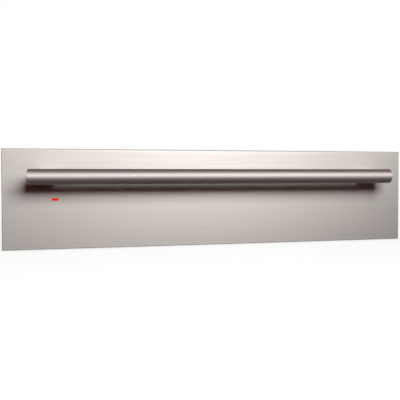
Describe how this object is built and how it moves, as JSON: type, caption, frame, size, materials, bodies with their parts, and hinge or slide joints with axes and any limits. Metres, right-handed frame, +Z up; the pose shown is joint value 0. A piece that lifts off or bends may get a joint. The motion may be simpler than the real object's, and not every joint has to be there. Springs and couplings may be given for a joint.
{
  "type": "built-in warming drawer",
  "caption": "Low built-in warming drawer for a kitchen column: brushed steel front with a round bar handle, heated glass base, fan heater and full extension runners.",
  "frame": {"origin": "on the niche floor, in the plane of the cabinet's front edges, on the drawer's middle", "axes": "+X to the right as seen from the front, +Y into the cabinet, +Z up"},
  "size_m": [0.595, 0.6247, 0.142],
  "materials": {
    "front_steel": "fine horizontal brushing, satin",
    "handle_steel": "brushed round bar, satin",
    "drawer_steel": "smooth satin stainless sheet",
    "housing_sheet": "galvanised sheet, dull with a faint spangle",
    "runner_steel": "zinc plated steel, lightly oiled",
    "fastener_steel": "bright zinc plated",
    "silicone": "matt silicone",
    "mineral_wool": "matted mineral wool",
    "foil": "etched foil heater",
    "dark_glass": "toughened glass, printed dark underneath, polished top",
    "grip_mat": "matt ribbed silicone",
    "lamp_red": "clear red lens",
    "pale_plastic": "heat resistant moulding",
    "black_plastic": "fine satin moulding",
    "thermostat_case": "nickel plated case",
    "fan_aluminium": "pressed sheet",
    "heater_tube": "heat darkened steel tube",
    "motor_iron": "lacquered laminations and varnished coil"
  },
  "bodies": {
    "housing": {"housing_base": "housing_sheet", "housing_top": "housing_sheet", "housing_side_left": "housing_sheet", "housing_side_right": "housing_sheet", "housing_back": "housing_sheet", "front_frame": "drawer_steel", "door_seal": "silicone", "runner_bracket_left": "housing_sheet", "runner_bracket_right": "housing_sheet", "runner_cabinet_left": "runner_steel", "runner_cabinet_right": "runner_steel", "bracket_rivets": "fastener_steel", "air_grille": "drawer_steel", "fan_plate": "housing_sheet", "fan_motor": "motor_iron", "ring_heater": "heater_tube", "thermal_cutout": "black_plastic", "terminal_block": "pale_plastic", "cable_gland": "black_plastic", "back_screws": "fastener_steel"},
    "drawer": {"front_panel": "front_steel", "front_carrier": "drawer_steel", "front_insulation": "mineral_wool", "handle_bar": "handle_steel", "handle_cap_left": "handle_steel", "handle_cap_right": "handle_steel", "handle_post_left": "handle_steel", "handle_post_right": "handle_steel", "handle_screws": "fastener_steel", "pilot_lamp_lens": "lamp_red", "pilot_lamp_holder": "pale_plastic", "drawer_side_left": "drawer_steel", "drawer_side_right": "drawer_steel", "drawer_back": "drawer_steel", "drawer_floor": "housing_sheet", "insulation_pad": "mineral_wool", "heating_foil": "foil", "glass_plate": "dark_glass", "anti_slip_mat": "grip_mat", "drawer_screws": "fastener_steel", "drawer_rivets": "fastener_steel", "control_box": "drawer_steel", "control_strip": "front_steel", "thermostat": "thermostat_case", "switch_body": "black_plastic", "runner_drawer_left": "runner_steel", "runner_drawer_right": "runner_steel"},
    "middle_left": {"runner_middle_left": "runner_steel"},
    "middle_right": {"runner_middle_right": "runner_steel"},
    "outer_cage_left": {"outer_cage_left": "fastener_steel"},
    "outer_cage_right": {"outer_cage_right": "fastener_steel"},
    "inner_cage_left": {"inner_cage_left": "fastener_steel"},
    "inner_cage_right": {"inner_cage_right": "fastener_steel"},
    "knob": {"thermostat_knob": "black_plastic", "thermostat_shaft": "fastener_steel"},
    "rocker": {"switch_rocker": "black_plastic"},
    "fan": {"fan_wheel": "fan_aluminium", "fan_shaft": "fastener_steel"}
  },
  "joints": [
    {"name": "drawer_slide", "type": "slide", "parent": "housing", "child": "drawer", "axis": [0, -1, 0], "range_m": [0, 0.45]},
    {"name": "middle_left_slide", "type": "slide", "parent": "housing", "child": "middle_left", "axis": [0, -1, 0], "range_m": [0, 0.225]},
    {"name": "middle_right_slide", "type": "slide", "parent": "housing", "child": "middle_right", "axis": [0, -1, 0], "range_m": [0, 0.225]},
    {"name": "outer_cage_left_slide", "type": "slide", "parent": "housing", "child": "outer_cage_left", "axis": [0, -1, 0], "range_m": [0, 0.1125]},
    {"name": "outer_cage_right_slide", "type": "slide", "parent": "housing", "child": "outer_cage_right", "axis": [0, -1, 0], "range_m": [0, 0.1125]},
    {"name": "inner_cage_left_slide", "type": "slide", "parent": "housing", "child": "inner_cage_left", "axis": [0, -1, 0], "range_m": [0, 0.3375]},
    {"name": "inner_cage_right_slide", "type": "slide", "parent": "housing", "child": "inner_cage_right", "axis": [0, -1, 0], "range_m": [0, 0.3375]},
    {"name": "thermostat_turn", "type": "hinge", "parent": "drawer", "child": "knob", "pos_m": [0.19, 0.0161, 0.11], "axis": [0, 0, -1], "range_deg": [0, 270]},
    {"name": "power_rocker", "type": "hinge", "parent": "drawer", "child": "rocker", "pos_m": [-0.19, 0.0161, 0.1033], "axis": [0, 1, 0], "range_deg": [0, 16]},
    {"name": "fan_spin", "type": "hinge", "parent": "housing", "child": "fan", "pos_m": [0, 0.48, 0.069], "axis": [0, -1, 0], "continuous": true}
  ],
  "couplings": [
    {"joint": "middle_left_slide", "follows": "drawer_slide", "ratio": 0.5},
    {"joint": "middle_right_slide", "follows": "drawer_slide", "ratio": 0.5},
    {"joint": "outer_cage_left_slide", "follows": "drawer_slide", "ratio": 0.25},
    {"joint": "outer_cage_right_slide", "follows": "drawer_slide", "ratio": 0.25},
    {"joint": "inner_cage_left_slide", "follows": "drawer_slide", "ratio": 0.75},
    {"joint": "inner_cage_right_slide", "follows": "drawer_slide", "ratio": 0.75}
  ]
}
